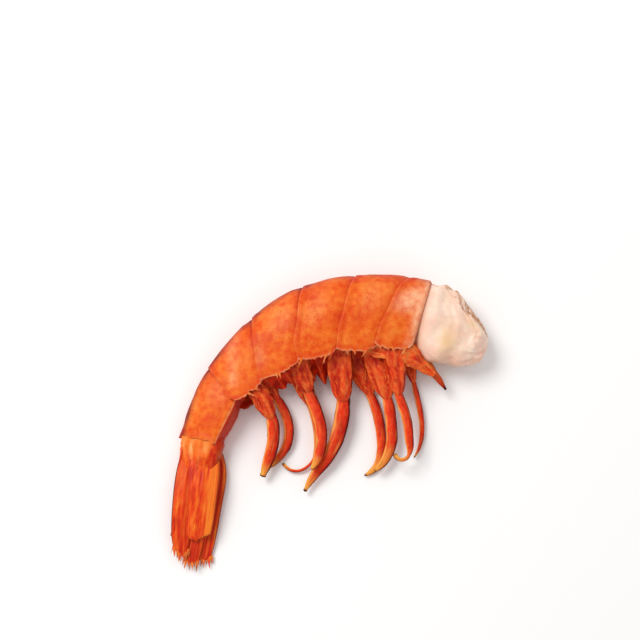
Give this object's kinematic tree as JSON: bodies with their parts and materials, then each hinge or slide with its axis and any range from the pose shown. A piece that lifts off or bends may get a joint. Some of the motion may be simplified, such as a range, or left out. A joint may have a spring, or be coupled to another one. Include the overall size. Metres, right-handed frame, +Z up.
{
  "type": "raw headless red shrimp",
  "caption": "Raw headless red shrimp with its shell on, lying on its side in a gentle bend, with pale meat bare at the neck, curled swimming legs and a closed tail fan.",
  "frame": {"origin": "centre of the footprint on the table, at the underside it rests on", "axes": "+Z up from the table through the upturned right side, +X towards the bare neck end along the longest extent, +Y towards the arched back"},
  "size_m": [0.0892, 0.0812, 0.0154],
  "materials": {
    "raw_meat": "moist and translucent",
    "shell": "satin, wet sheen",
    "leg": "satin, wet sheen",
    "tail_fan": "satin, ribbed"
  },
  "bodies": {
    "root": {"meat": "raw_meat", "plate_1": "shell", "plate_2": "shell", "plate_3": "shell", "plate_4": "shell", "plate_5": "shell", "plate_6": "shell", "leg_1_right": "leg", "leg_1_left": "leg", "leg_2_right": "leg", "leg_2_left": "leg", "leg_3_right": "leg", "leg_3_left": "leg", "leg_4_right": "leg", "leg_4_left": "leg", "leg_5_right": "leg", "leg_5_left": "leg", "leg_stub": "leg", "telson": "tail_fan", "tail_right_inner": "tail_fan", "tail_right_outer": "tail_fan", "tail_left_inner": "tail_fan", "tail_left_outer": "tail_fan"}
  },
  "joints": []
}
